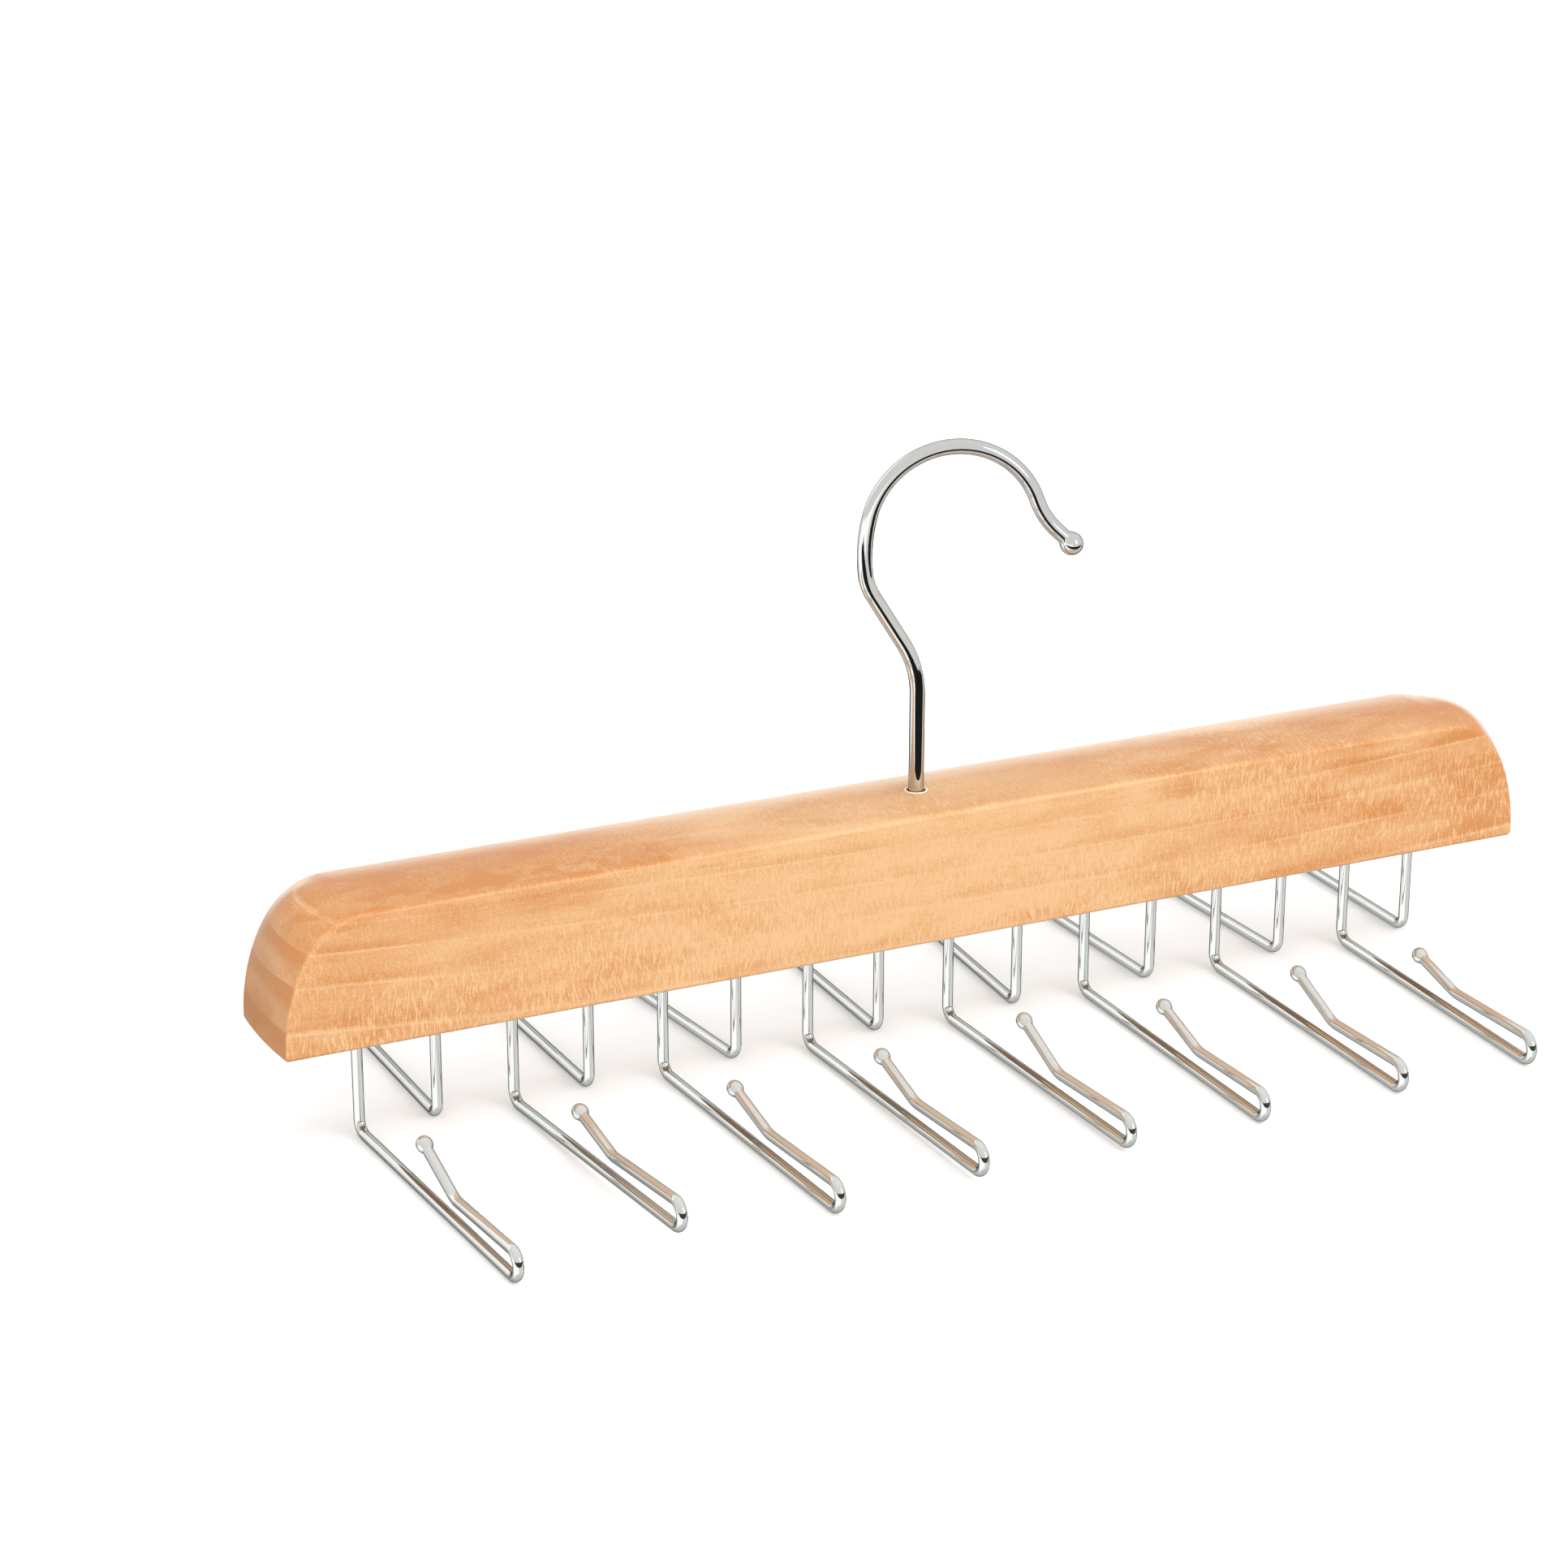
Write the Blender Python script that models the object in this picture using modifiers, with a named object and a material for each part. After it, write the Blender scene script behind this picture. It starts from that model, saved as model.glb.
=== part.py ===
"""Tank top hanger: a wooden bar on a swivel hook, with two rows of wire strap hooks.

Units are metres. X runs along the bar, -Y is the front and +Z is up. The hanger stands on the
level arms of its strap hooks, so z = 0 is their lowest line, and the swivel hook turns about Z.
"""
import math

import bmesh
import bpy
from mathutils import Vector

MM = 0.001
COLLECTION_NAME = "tank_top_hanger"

# Gaps that keep neighbouring solids apart
SEAT_GAP = 0.3 * MM
LEG_CLEARANCE = 0.2 * MM
SHANK_CLEARANCE = 0.4 * MM

# Wooden bar: flat faces front and back, a crowned top, and ends that curve down to the underside
BAR_LENGTH = 356.0 * MM
BAR_THICKNESS = 30.8 * MM
BAR_SIDE_HEIGHT = 35.1 * MM
BAR_END_DEPTH = 22.0 * MM
BAR_END_FULLNESS = 2.05
BAR_EDGE_RADIUS = 1.2 * MM
CROWN_TOP = 1.6 * MM
CROWN_FOOT = 0.8 * MM
CROWN_CORNER = 3.4 * MM

# Strap hooks: round wire, pressed into the underside of the bar
STRAP_WIRE_DIAMETER = 2.8 * MM
STRAP_HOOKS_PER_SIDE = 8
LEG_END_MARGIN = 23.4 * MM
LEG_SOCKET_DEPTH = 22.0 * MM
ARM_DROP = 28.4 * MM
ARM_LENGTH = 90.4 * MM
LEG_BEND_RADIUS = 3.6 * MM
END_TURN_RADIUS = 3.35 * MM
RETURN_LENGTH = 30.0 * MM
RETURN_CLOSING_ANGLE = math.radians(1.8)
LEAD_IN_BEND_RADIUS = 10.0 * MM
LEAD_IN_ANGLE = math.radians(18.6)
LEAD_IN_LENGTH = 17.0 * MM
STRAP_BALL_DIAMETER = 4.2 * MM
STRAP_BALL_LENGTH = 4.7 * MM

# Swivel hook: one length of thicker wire, drawn bend by bend from the top of its straight shank
HOOK_WIRE_DIAMETER = 4.0 * MM
HOOK_PLANE_ANGLE = math.radians(-15.0)
SHANK_RISE = 25.8 * MM
NECK_BEND = (26.8 * MM, math.radians(31.4))
SLANT_LENGTH = 15.1 * MM
LOOP_BENDS = (
    (14.3 * MM, math.radians(-25.0)),
    (42.7 * MM, math.radians(-19.6)),
    (22.6 * MM, math.radians(-147.0)),
)
TIP_BEND = (20.9 * MM, math.radians(26.6))
TIP_LENGTH = 5.5 * MM
HOOK_BALL_DIAMETER = 6.1 * MM
HOOK_BALL_LENGTH = 6.3 * MM

# Shank fastening, hidden in a counterbore in the underside
COUNTERBORE_DIAMETER = 11.0 * MM
COUNTERBORE_DEPTH = 8.0 * MM
BORE_CHAMFER = 0.8 * MM
WASHER_DIAMETER = 9.0 * MM
WASHER_THICKNESS = 0.8 * MM
NUT_ACROSS_FLATS = 7.0 * MM
NUT_HEIGHT = 3.2 * MM
NUT_CHAMFER = 0.3 * MM
SHANK_END_LENGTH = 1.5 * MM

# Facets
WIRE_BEVEL_RESOLUTION = 2
HOOK_BEVEL_RESOLUTION = 4
ARC_STEP = math.radians(30.0)
HOOK_ARC_STEP = math.radians(11.0)
BALL_STEPS = 5
BALL_TIP_ANGLE = math.radians(14.0)
SOCKET_SIDES = 12
TURNED_STEPS = 24
END_ARC_STEPS = 10
CORNER_STEPS = 2
CROWN_STEPS = 6
CUT_OVERRUN = 2.0 * MM

# Colours are linear
WOOD = ((0.78, 0.41, 0.18), 0.45, 0.0)
CHROME = ((0.80, 0.80, 0.80), 0.12, 1.0)
ZINC = ((0.62, 0.63, 0.65), 0.35, 1.0)

# Sizes that follow from the ones above
STRAP_WIRE_RADIUS = STRAP_WIRE_DIAMETER / 2
HOOK_WIRE_RADIUS = HOOK_WIRE_DIAMETER / 2
ARM_Z = STRAP_WIRE_RADIUS
UNDERSIDE_Z = ARM_Z + ARM_DROP
RIDGE_Z = UNDERSIDE_Z + BAR_SIDE_HEIGHT + CROWN_TOP
LEG_COUNT = 2 * STRAP_HOOKS_PER_SIDE
LEG_SPACING = (BAR_LENGTH - 2 * LEG_END_MARGIN) / (LEG_COUNT - 1)
SOCKET_RADIUS = STRAP_WIRE_RADIUS + LEG_CLEARANCE
SOCKET_TOP_Z = UNDERSIDE_Z + LEG_SOCKET_DEPTH
BORE_RADIUS = HOOK_WIRE_RADIUS + SHANK_CLEARANCE
COUNTERBORE_TOP_Z = UNDERSIDE_Z + COUNTERBORE_DEPTH
WASHER_TOP_Z = COUNTERBORE_TOP_Z - SEAT_GAP
NUT_TOP_Z = WASHER_TOP_Z - WASHER_THICKNESS - SEAT_GAP
SHANK_END_Z = NUT_TOP_Z - NUT_HEIGHT - SHANK_END_LENGTH


class WirePath:
    """The centreline of a bent wire in its own X-Z plane, with the wire's radius at each point."""

    def __init__(self, start, heading, wire_radius):
        self.points = [Vector(start)]
        self.radii = [wire_radius]
        self.heading = heading
        self.wire_radius = wire_radius

    def direction(self):
        return Vector((math.cos(self.heading), 0.0, math.sin(self.heading)))

    def add(self, point, radius):
        self.points.append(point)
        self.radii.append(radius)

    def line(self, length):
        self.add(self.points[-1] + self.direction() * length, self.wire_radius)

    def arc(self, radius, angle, step):
        """Bend the wire: a positive angle turns it to the left of the way it runs."""
        count = max(1, math.ceil(abs(angle) / step))
        turn = angle / count
        chord = 2 * radius * math.sin(abs(turn) / 2)
        for _ in range(count):
            self.heading += turn / 2
            self.line(chord)
            self.heading += turn / 2

    def ball(self, distance, diameter, length):
        """Run straight to a ball formed on the wire's end, whose centre is at the distance."""
        centre = self.points[-1] + self.direction() * distance
        neck_angle = math.pi - math.asin(2 * self.wire_radius / diameter)
        for index in range(BALL_STEPS + 1):
            angle = neck_angle + (BALL_TIP_ANGLE - neck_angle) * index / BALL_STEPS
            offset = self.direction() * (length / 2 * math.cos(angle))
            self.add(centre + offset, diameter / 2 * math.sin(angle))


def collection(name):
    made = bpy.data.collections.new(name)
    bpy.context.scene.collection.children.link(made)
    return made


def material(name, finish):
    colour, roughness, metallic = finish
    made = bpy.data.materials.new(name)
    made.use_nodes = True
    made.diffuse_color = (*colour, 1.0)
    shader = made.node_tree.nodes["Principled BSDF"]
    shader.inputs["Base Color"].default_value = (*colour, 1.0)
    shader.inputs["Roughness"].default_value = roughness
    shader.inputs["Metallic"].default_value = metallic
    return made


def add_object(name, data, finish, target):
    made = bpy.data.objects.new(name, data)
    target.objects.link(made)
    if finish:
        data.materials.append(material(name, finish))
    return made


def make_cutter(cutter):
    cutter.hide_render = True
    cutter.display_type = "WIRE"
    return cutter


def boolean_cut(target, cutter):
    cut = target.modifiers.new("cut_" + cutter.name, "BOOLEAN")
    cut.operation = "DIFFERENCE"
    cut.solver = "EXACT"
    cut.object = cutter


def wire_object(name, path, bevel_resolution, target):
    """A wire as a round curve: its bevel is as thick as the wire, and each point scales it."""
    curve = bpy.data.curves.new(name, "CURVE")
    curve.dimensions = "3D"
    curve.bevel_depth = path.wire_radius
    curve.bevel_resolution = bevel_resolution
    curve.use_fill_caps = True
    spline = curve.splines.new("POLY")
    spline.points.add(len(path.points) - 1)
    for point, place, radius in zip(spline.points, path.points, path.radii):
        point.co = (*place, 1.0)
        point.radius = radius / path.wire_radius
    spline.use_smooth = True
    return add_object(name, curve, CHROME, target)


def turned_object(name, profile, closed, finish, target):
    """Turn a profile of (radius, z) points, given from the top down its outer side, about Z."""
    mesh = bpy.data.meshes.new(name)
    count = len(profile)
    edges = [(index, index + 1) for index in range(count - 1)]
    if closed:
        edges.append((count - 1, 0))
    mesh.from_pydata([(radius, 0.0, z) for radius, z in profile], edges, [])
    made = add_object(name, mesh, finish, target)
    screw = made.modifiers.new("turn", "SCREW")
    screw.axis = "Z"
    screw.angle = 2 * math.pi
    screw.steps = TURNED_STEPS
    screw.render_steps = TURNED_STEPS
    screw.use_merge_vertices = True
    screw.merge_threshold = 0.00001
    screw.use_smooth_shade = True
    return made


def cylinder_mesh(target_mesh, centre_xy, radius, low_z, high_z, sides):
    """Add a closed upright cylinder to a bmesh."""
    made = bmesh.ops.create_cone(
        target_mesh, cap_ends=True, segments=sides,
        radius1=radius, radius2=radius, depth=high_z - low_z)
    centre = Vector((*centre_xy, (low_z + high_z) / 2))
    bmesh.ops.translate(target_mesh, verts=made["verts"], vec=centre)


def leg_positions():
    """X of every leg, from the left end, alternating between the front and the rear row."""
    first = -LEG_SPACING * (LEG_COUNT - 1) / 2
    return [first + LEG_SPACING * index for index in range(LEG_COUNT)]


def crown_height(normal):
    """How far the bar's top and ends swell in mid-thickness: most where they turn the corner."""
    corner = CROWN_CORNER * (2 * normal.x * normal.y) ** 3
    return CROWN_FOOT + (CROWN_TOP - CROWN_FOOT) * normal.y ** 2 + corner


def bar_ring(y):
    """Half of the bar's outline at one depth, from the middle of the underside to the ridge."""
    bulge = 1.0 - (2 * y / BAR_THICKNESS) ** 2
    inset = BAR_THICKNESS / 2 - abs(y)
    lift = 0.0
    if inset < BAR_EDGE_RADIUS:
        slope = BAR_EDGE_RADIUS - inset
        lift = BAR_EDGE_RADIUS - math.sqrt(BAR_EDGE_RADIUS ** 2 - slope ** 2)

    end_x = BAR_LENGTH / 2
    arc_x = end_x - BAR_END_DEPTH
    arc_height = BAR_SIDE_HEIGHT - BAR_EDGE_RADIUS
    power = 2 / BAR_END_FULLNESS
    outline = [(0.0, 0.0)]
    for index in range(CORNER_STEPS):
        angle = math.radians(90) * index / CORNER_STEPS
        corner_x = end_x + CROWN_FOOT * bulge - BAR_EDGE_RADIUS * (1 - math.sin(angle))
        outline.append((corner_x, BAR_EDGE_RADIUS * (1 - math.cos(angle))))
    for index in range(END_ARC_STEPS + 1):
        angle = math.radians(90) * index / END_ARC_STEPS
        cosine = max(0.0, math.cos(angle))
        sine = math.sin(angle)
        x = arc_x + BAR_END_DEPTH * cosine ** power
        z = BAR_EDGE_RADIUS + arc_height * sine ** power
        normal = Vector((cosine ** (2 - power) / BAR_END_DEPTH, sine ** (2 - power) / arc_height))
        normal.normalize()
        swell = bulge * crown_height(normal)
        outline.append((x + swell * normal.x, z + swell * normal.y))
    outline.append((0.0, BAR_SIDE_HEIGHT + CROWN_TOP * bulge))
    return [(x, y, UNDERSIDE_Z + max(z, lift)) for x, z in outline]


def build_bar(parts, cutters):
    """Loft the right half of the bar from front to back, mirror it, and drill it."""
    half = BAR_THICKNESS / 2
    edge_insets = (0.0, 0.3 * BAR_EDGE_RADIUS)
    middle = half - BAR_EDGE_RADIUS
    depths = [-half + inset for inset in edge_insets]
    depths += [-middle + 2 * middle * index / CROWN_STEPS for index in range(CROWN_STEPS + 1)]
    depths += [half - inset for inset in reversed(edge_insets)]

    shape = bmesh.new()
    rings = [[shape.verts.new(point) for point in bar_ring(y)] for y in depths]
    shape.faces.new(rings[0])
    shape.faces.new(reversed(rings[-1]))
    for near, far in zip(rings, rings[1:]):
        for index in range(len(near) - 1):
            side = shape.faces.new((near[index], far[index], far[index + 1], near[index + 1]))
            side.smooth = index > 0
    mesh = bpy.data.meshes.new("wooden_bar")
    shape.to_mesh(mesh)
    shape.free()
    bar = add_object("wooden_bar", mesh, WOOD, parts)

    mirror = bar.modifiers.new("left_half", "MIRROR")
    mirror.use_axis = (True, False, False)
    mirror.merge_threshold = 0.00005

    boolean_cut(bar, build_socket_cutter(cutters))
    boolean_cut(bar, build_bore_cutter(cutters))
    return bar


def build_socket_cutter(cutters):
    """All the blind holes that the strap hooks' legs are pressed into."""
    shape = bmesh.new()
    for x in leg_positions():
        cylinder_mesh(
            shape, (x, 0.0), SOCKET_RADIUS, UNDERSIDE_Z - CUT_OVERRUN, SOCKET_TOP_Z, SOCKET_SIDES)
    mesh = bpy.data.meshes.new("leg_sockets")
    shape.to_mesh(mesh)
    shape.free()
    return make_cutter(add_object("leg_sockets", mesh, None, cutters))


def build_bore_cutter(cutters):
    """The shank's hole through the bar: chamfered at the ridge, counterbored from below."""
    chamfer_foot_z = RIDGE_Z - BORE_CHAMFER
    top_z = RIDGE_Z + CUT_OVERRUN
    mouth_radius = BORE_RADIUS + top_z - chamfer_foot_z
    counterbore_radius = COUNTERBORE_DIAMETER / 2
    bottom_z = UNDERSIDE_Z - CUT_OVERRUN
    profile = [
        (0.0, top_z),
        (mouth_radius, top_z),
        (BORE_RADIUS, chamfer_foot_z),
        (BORE_RADIUS, COUNTERBORE_TOP_Z),
        (counterbore_radius, COUNTERBORE_TOP_Z),
        (counterbore_radius, bottom_z),
        (0.0, bottom_z),
    ]
    return make_cutter(turned_object("shank_bore", profile, False, None, cutters))


def build_swivel_hook(parts):
    """The hanging hook, turned about the shank to the angle that it has in use."""
    shank_top = RIDGE_Z + SHANK_RISE
    path = WirePath((0.0, 0.0, SHANK_END_Z), math.radians(90), HOOK_WIRE_RADIUS)
    path.line(shank_top - SHANK_END_Z)
    path.arc(*NECK_BEND, HOOK_ARC_STEP)
    path.line(SLANT_LENGTH)
    for radius, angle in LOOP_BENDS:
        path.arc(radius, angle, HOOK_ARC_STEP)
    path.arc(*TIP_BEND, HOOK_ARC_STEP)
    path.ball(TIP_LENGTH, HOOK_BALL_DIAMETER, HOOK_BALL_LENGTH)
    hook = wire_object("swivel_hook", path, HOOK_BEVEL_RESOLUTION, parts)
    hook.rotation_euler.z = HOOK_PLANE_ANGLE


def build_washer(parts):
    """The washer that the nut bears on, against the roof of the counterbore."""
    inner = HOOK_WIRE_RADIUS + SEAT_GAP
    outer = WASHER_DIAMETER / 2
    low_z = WASHER_TOP_Z - WASHER_THICKNESS
    profile = [(inner, WASHER_TOP_Z), (outer, WASHER_TOP_Z), (outer, low_z), (inner, low_z)]
    turned_object("shank_washer", profile, True, ZINC, parts)


def build_nut(parts, cutters):
    """The hexagon nut on the shank's lower end."""
    low_z = NUT_TOP_Z - NUT_HEIGHT
    shape = bmesh.new()
    corner_radius = NUT_ACROSS_FLATS / 2 / math.cos(math.radians(30))
    cylinder_mesh(shape, (0.0, 0.0), corner_radius, low_z, NUT_TOP_Z, 6)
    mesh = bpy.data.meshes.new("shank_nut")
    shape.to_mesh(mesh)
    shape.free()
    nut = add_object("shank_nut", mesh, ZINC, parts)
    bevel = nut.modifiers.new("edges", "BEVEL")
    bevel.width = NUT_CHAMFER
    bevel.segments = 1
    bevel.limit_method = "ANGLE"
    bevel.angle_limit = math.radians(70)

    hole = bmesh.new()
    cylinder_mesh(
        hole, (0.0, 0.0), HOOK_WIRE_RADIUS + SEAT_GAP,
        low_z - CUT_OVERRUN, NUT_TOP_Z + CUT_OVERRUN, TURNED_STEPS)
    hole_mesh = bpy.data.meshes.new("nut_hole")
    hole.to_mesh(hole_mesh)
    hole.free()
    boolean_cut(nut, make_cutter(add_object("nut_hole", hole_mesh, None, cutters)))


def strap_hook_path():
    """From the leg's top down, out along the arm, round the end turn and back to the ball."""
    leg_top_z = SOCKET_TOP_Z - SEAT_GAP
    path = WirePath((0.0, 0.0, leg_top_z), math.radians(-90), STRAP_WIRE_RADIUS)
    path.line(leg_top_z - ARM_Z - LEG_BEND_RADIUS)
    path.arc(LEG_BEND_RADIUS, math.radians(90), ARC_STEP)
    path.line(ARM_LENGTH - LEG_BEND_RADIUS)
    path.arc(END_TURN_RADIUS, math.pi + RETURN_CLOSING_ANGLE, ARC_STEP)
    path.line(RETURN_LENGTH)
    path.arc(LEAD_IN_BEND_RADIUS, -LEAD_IN_ANGLE - RETURN_CLOSING_ANGLE, ARC_STEP / 2)
    path.ball(LEAD_IN_LENGTH, STRAP_BALL_DIAMETER, STRAP_BALL_LENGTH)
    return path


def build_strap_hooks(parts):
    """Front and rear hooks take turns along the bar, and all stand on the same centre line."""
    for index, x in enumerate(leg_positions()):
        is_front = index % 2 == 0
        side = "front" if is_front else "rear"
        name = f"{side}_strap_hook_{index // 2 + 1}"
        hook = wire_object(name, strap_hook_path(), WIRE_BEVEL_RESOLUTION, parts)
        hook.location.x = x
        hook.rotation_euler.z = math.radians(-90 if is_front else 90)


def main():
    for old in list(bpy.data.objects):
        bpy.data.objects.remove(old)
    parts = collection(COLLECTION_NAME)
    cutters = collection("cutters")
    build_bar(parts, cutters)
    build_swivel_hook(parts)
    build_washer(parts)
    build_nut(parts, cutters)
    build_strap_hooks(parts)


main()
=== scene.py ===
"""The looks of the tank top hanger: lacquered wood, chromed wires, floor, lights and camera."""
import math

import bmesh
import bpy
from mathutils import Euler, Matrix, Vector


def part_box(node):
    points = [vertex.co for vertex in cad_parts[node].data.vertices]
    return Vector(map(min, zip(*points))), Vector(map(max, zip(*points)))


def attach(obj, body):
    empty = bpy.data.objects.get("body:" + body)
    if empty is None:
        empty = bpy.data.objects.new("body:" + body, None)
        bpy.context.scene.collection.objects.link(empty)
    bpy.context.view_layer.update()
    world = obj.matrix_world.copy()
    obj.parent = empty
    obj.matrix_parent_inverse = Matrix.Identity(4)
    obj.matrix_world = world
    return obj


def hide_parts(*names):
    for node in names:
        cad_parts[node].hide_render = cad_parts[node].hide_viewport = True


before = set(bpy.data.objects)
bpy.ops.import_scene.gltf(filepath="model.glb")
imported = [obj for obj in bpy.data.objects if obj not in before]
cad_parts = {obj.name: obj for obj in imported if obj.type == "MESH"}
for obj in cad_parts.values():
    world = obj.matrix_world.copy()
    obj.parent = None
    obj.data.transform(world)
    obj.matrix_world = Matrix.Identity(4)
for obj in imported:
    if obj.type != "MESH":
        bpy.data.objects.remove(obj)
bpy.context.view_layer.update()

MM = 0.001

# Body names of the frame
BAR_BODY = "hanger_bar"
HOOK_BODY = "hook"

# Bar: the values that its bounding box doesn't hold
BAR_EDGE_RADIUS = 1.2 * MM
BAR_END_DEPTH = 22.0 * MM
BAR_END_FULLNESS = 2.05
CROWN_TOP = 1.6 * MM
CROWN_FOOT = 0.8 * MM
CROWN_CORNER = 3.4 * MM
FILLET_FOOT = 1.2 * MM
FILLET_END = 0.45 * MM
FILLET_TOP = 1.0 * MM
FILLET_TOP_SLOPE = 0.6
BORE_RADIUS = 2.4 * MM
BORE_CHAMFER = 0.3 * MM
COUNTERBORE_RADIUS = 5.5 * MM
COUNTERBORE_DEPTH = 8.0 * MM
LEG_SOCKET_DEPTH = 22.0 * MM
LEG_SOCKET_CLEARANCE = 0.15 * MM
LEG_END_GAP = 0.3 * MM

# Strap hooks
STRAP_WIRE_RADIUS = 1.4 * MM
STRAP_HOOKS_PER_SIDE = 8
ARM_LENGTH = 90.4 * MM
LEG_BEND_RADIUS = 3.6 * MM
END_TURN_RADIUS = 3.35 * MM
RETURN_CLOSING_ANGLE = math.radians(1.8)
LEAD_IN_BEND_RADIUS = 10.0 * MM
LEAD_IN_LENGTH = 17.0 * MM
STRAP_BALL_DIAMETER = 4.2 * MM
STRAP_BALL_LENGTH = 4.7 * MM

# The strap hooks were bent and pressed in one by one. Turn in the hole and lift of the arm, to
# half a degree, lead-in angle and length of the upper run, of the front ones from the left
FRONT_HOOK_BENDS = (
    (2.0, 0.0, 22, 29.5), (2.0, 2.5, 16, 31.5), (2.0, 0.0, 16, 31.0), (0.5, 1.0, 18, 29.5),
    (0.5, 0.5, 24, 30.0), (-1.0, 0.0, 17, 28.0), (-1.0, 0.0, 22, 28.0), (-2.0, 0.0, 13, 31.5))
# Turns of the rear ones, whose other bends are all the same
REAR_HOOK_TURNS = (-1.0, 0.0, 5.0, -2.0, -4.5, 1.0, 1.5, -1.5)
REAR_LEAD_IN_ANGLE = 18.6
REAR_RUN = 30.0

# Swivel hook
HOOK_WIRE_RADIUS = 2.0 * MM
HOOK_PLANE_ANGLE = math.radians(-15.0)
SHANK_RISE = 25.8 * MM
NECK_BEND = (26.8 * MM, math.radians(31.4))
SLANT_LENGTH = 15.1 * MM
LOOP_BENDS = (
    (14.3 * MM, math.radians(-25.0)),
    (42.7 * MM, math.radians(-19.6)),
    (22.6 * MM, math.radians(-147.0)),
)
TIP_BEND = (20.9 * MM, math.radians(26.6))
TIP_LENGTH = 5.5 * MM
HOOK_BALL_DIAMETER = 6.1 * MM
HOOK_BALL_LENGTH = 6.3 * MM

# Bead of lacquer round the bore's mouth
RIM_RADIUS = 0.2 * MM
RIM_SINK = 0.04 * MM
RIM_STEPS = 12

# Fastening in the counterbore
WASHER_BORE_RADIUS = BORE_RADIUS - 0.15 * MM
WASHER_EDGE = 0.15 * MM
WASHER_EDGE_CORNER = 0.3
NUT_BORE_RADIUS = BORE_RADIUS - 0.25 * MM
NUT_BORE_CHAMFER = 0.3 * MM
NUT_FACE_SHARE = 0.97
NUT_CHAMFER_SLOPE = math.tan(math.radians(30))
NUT_FLAT_ANGLE = math.radians(60)
THREAD_PITCH = 0.7 * MM
THREAD_DEPTH = 0.36 * MM
THREAD_FLANK_SLOPE = 2.2
THREAD_LEAD_IN = 0.5 * MM
THREAD_ABOVE_WASHER = 1.5 * MM

# Colours of the wood and of the painted sheen on its crown, the lacquer round the bore with its
# painted highlight, the chrome and the zinc plate
WOOD_LIGHT = (0.56, 0.338, 0.17)
WOOD_DARK = (0.435, 0.178, 0.052)
WOOD_PAINTED_SHEEN = (0.88, 0.76, 0.64)
BEAD_PAINTED_HIGHLIGHT = (0.98, 0.84, 0.66)
BEAD_PAINTED_HIGHLIGHT_DIM = (0.80, 0.60, 0.38)
CHROME_TINT = (1.0, 1.01, 0.97)
CHROME_EDGE = (0.2, 0.2, 0.18, 1.0)
CHROME_VARIATION = (0.97, 1.03)
ZINC_LIGHT = (0.66, 0.67, 0.68)
ZINC_DARK = (0.42, 0.43, 0.44)

# Growth layers of the wood, in millimetres: how they rise along the bar, where they start above its
# underside, how they lean across it and wander, and how many of them lie below a height
LAYER_RISE = (-0.000175, 0.012)
LAYER_START = 7.7
LAYER_LEAN = -0.02
LAYER_WANDER = 5.0
LAYER_COUNT = (0.00092, 0.066, -0.587)
PALE_LINE_SHARE = 0.94

# Where the wood's patterns and the film on the chrome fade in: by place along the bar or by height,
# in millimetres, by the slope of the surface, or by how edge on the crown's painted sheen is seen
MIDDLE_TONE = (170.0, 20.0, 0.5, 0.88)
STAIN_START = (-55.0, -95.0)
STAIN_END = (-168.0, -145.0)
FIGURED_END = (10.0, 90.0)
RAYS_TOP = 26.0
RAYS_FULL = 8.0
SHOULDER_DROP = 4.0
SHOULDER_EDGE = (7.0, 2.0)
CROWN_SLOPE = (0.25, 0.8)
END_GRAIN_SLOPE = (0.35, 0.95)
PAINTED_SHEEN_FACING = (0.68, 0.86)
FILM_SLOPE = (0.3, 1.0)
FILM_HEIGHT = (3.5, 6.5)

# Depth of the surfaces' relief
WOOD_RELIEF = 0.03 * MM
CHROME_RELIEF = 0.003 * MM
ZINC_RELIEF = 0.01 * MM

# Smoothness of the meshes
TURNED_STEPS = 72
THREAD_STEPS = 12
WIRE_BEVEL_RESOLUTION = 10
ARC_STEP = math.radians(6.0)
LOOP_ARC_STEP = math.radians(3.0)
BALL_STEPS = 18
BALL_POLE_RADIUS = 0.02 * MM
NECK_BLEND = 0.5 * MM
NECK_STEPS = 4
CORNER_STEPS = 6
END_ARC_STEPS = 48
FILLET_STEPS = 6
CROWN_STEPS = 28
HOLE_SIDES = 48
CUT_OVERRUN = 2.0 * MM
SHARP_ANGLE = math.radians(38.0)

# Surroundings: the brightness of each part, where it is, and where its soft edge starts and ends
SKY = 0.97
HORIZON = (-0.05, 0.05)
WALL_LOW = 0.9
WALL_LOW_EDGE = (-0.9, -0.3)
WALL_LINE = 0.22
WALL_LINE_DIRECTION = (0.457, 0.889)
WALL_LINE_SIDES = (0.35, 0.65)
WALL_LINE_DEPTH = 0.37
WALL_LINE_EDGE = (0.1, 0.05)
GROUND = 0.2
GROUND_SHINE = 0.8
GROUND_EDGE = (-0.6, -0.9)
WHITE_BOARD = 1.6
BOARD_DIRECTION = (-0.94, -0.34)
BOARD_EDGE = (0.47, 0.67)
BACK_BOARD = 1.5
BACK_BOARD_DIRECTION = (-0.424, 0.827, 0.369)
BACK_BOARD_EDGE = (0.87, 0.95)

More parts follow.
